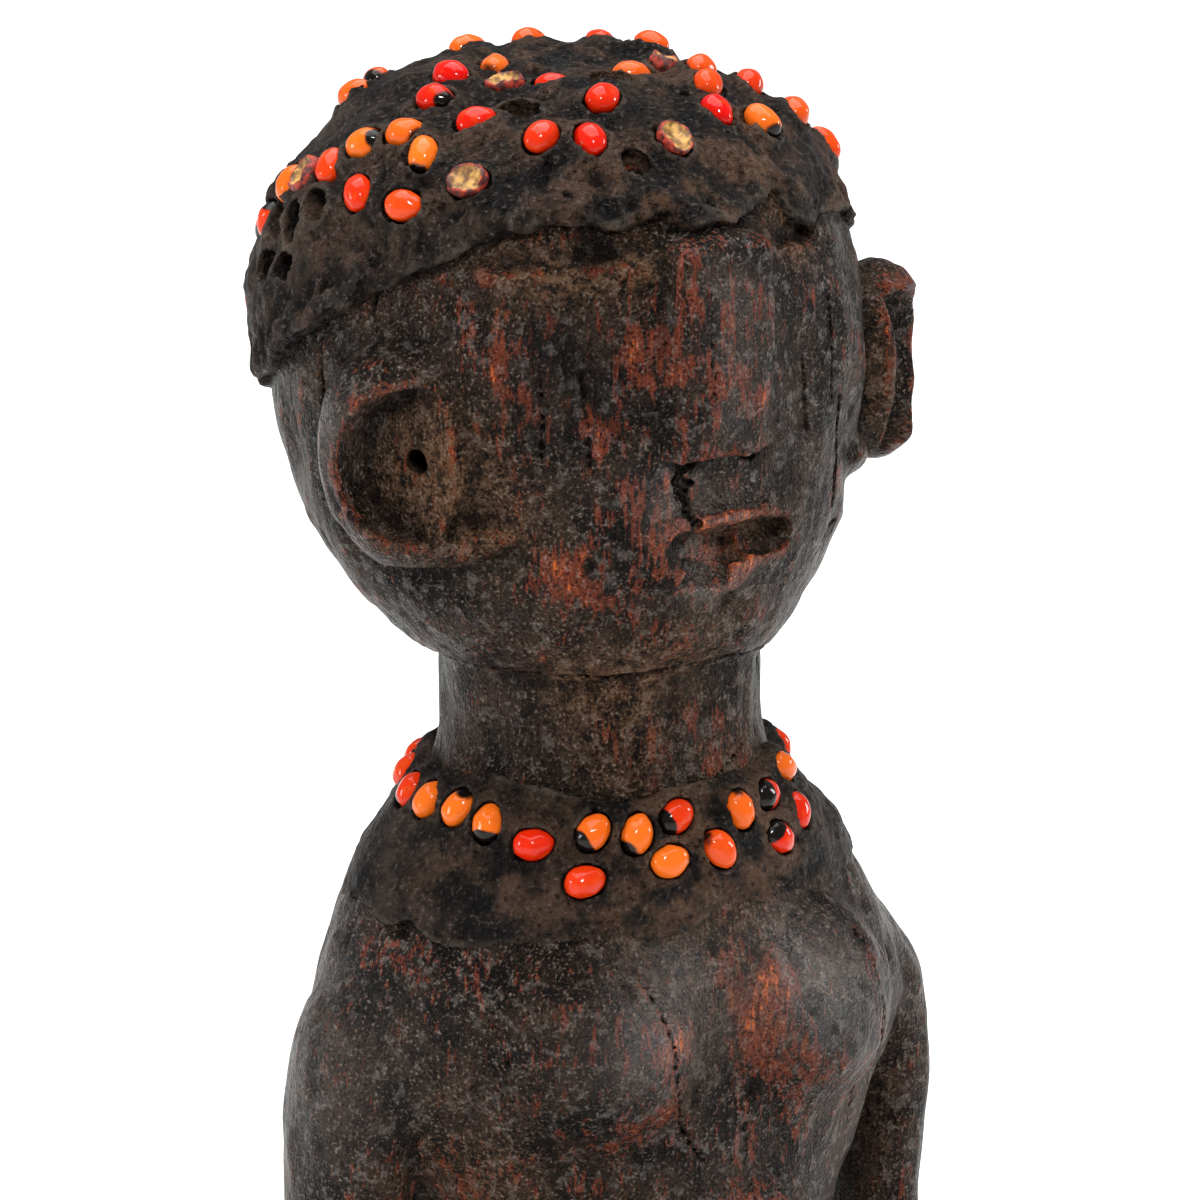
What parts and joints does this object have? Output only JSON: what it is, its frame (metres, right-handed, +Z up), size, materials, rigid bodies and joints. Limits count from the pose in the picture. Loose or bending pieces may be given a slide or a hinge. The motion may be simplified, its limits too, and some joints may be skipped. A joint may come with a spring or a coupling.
{
  "type": "fertility doll",
  "caption": "Standing carved wooden doll with a large round head, arms free of the waist and bent legs, wearing a resin cap and a resin collar set with small seeds.",
  "frame": {"origin": "on the ground, under the middle of the doll's box", "axes": "+Z up; the face looks along -Y; the doll's left side is +X"},
  "size_m": [0.1192, 0.1079, 0.3431],
  "materials": {
    "wood": "worn semi-gloss",
    "resin": "rough matte",
    "seed": "polished",
    "broken_seed": "dry, rough"
  },
  "bodies": {
    "root": {"cap_back_seeds": "seed", "cap_broken_seed_1": "broken_seed", "cap_broken_seed_2": "broken_seed", "cap_broken_seed_3": "broken_seed", "cap_broken_seed_4": "broken_seed", "cap_broken_seed_5": "broken_seed", "cap_seed_01": "seed", "cap_seed_02": "seed", "cap_seed_03": "seed", "cap_seed_04": "seed", "cap_seed_05": "seed", "cap_seed_06": "seed", "cap_seed_07": "seed", "cap_seed_08": "seed", "cap_seed_09": "seed", "cap_seed_10": "seed", "cap_seed_11": "seed", "cap_seed_12": "seed", "cap_seed_13": "seed", "cap_seed_14": "seed", "cap_seed_15": "seed", "cap_seed_16": "seed", "cap_seed_17": "seed", "cap_seed_18": "seed", "cap_seed_19": "seed", "cap_seed_20": "seed", "cap_seed_21": "seed", "cap_seed_22": "seed", "cap_seed_23": "seed", "collar_back_seeds": "seed", "collar_seed_01": "seed", "collar_seed_02": "seed", "collar_seed_03": "seed", "collar_seed_04": "seed", "collar_seed_05": "seed", "collar_seed_06": "seed", "collar_seed_07": "seed", "collar_seed_08": "seed", "collar_seed_09": "seed", "collar_seed_10": "seed", "collar_seed_11": "seed", "collar_seed_12": "seed", "collar_seed_13": "seed", "collar_seed_14": "seed", "collar_seed_15": "seed", "collar_seed_16": "seed", "collar_seed_17": "seed", "resin_cap": "resin", "resin_collar": "resin", "wood_figure": "wood"}
  },
  "joints": []
}
